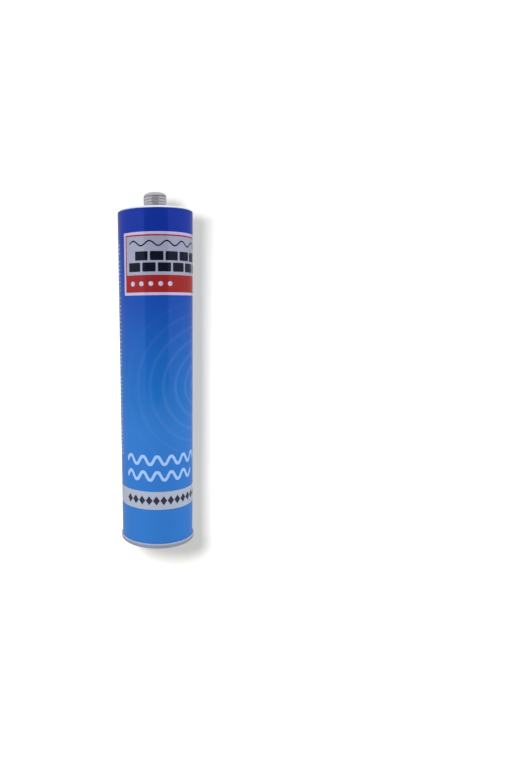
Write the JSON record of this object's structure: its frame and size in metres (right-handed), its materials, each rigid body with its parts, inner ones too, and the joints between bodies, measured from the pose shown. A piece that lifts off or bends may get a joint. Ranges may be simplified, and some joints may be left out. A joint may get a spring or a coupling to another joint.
{
  "type": "caulk tube",
  "caption": "Slim metal sealant cartridge with printed wall, low cone shoulder, threaded neck, folded base hem and a drawn piston in its open base.",
  "frame": {"origin": "centre of the base, on the surface that the cartridge stands on", "axes": "+Z runs along the barrel from the base to the threaded neck; the front of the print faces -Y"},
  "size_m": [0.0508, 0.0508, 0.233],
  "materials": {
    "printed_metal": "blue gloss print with a bordered red and pale panel and a pale band, over bare aluminium at the neck, shoulder and hem",
    "drawn_metal": "satin drawn sheet with fine drawing lines"
  },
  "bodies": {
    "root": {"barrel": "printed_metal", "piston": "drawn_metal"}
  },
  "joints": []
}
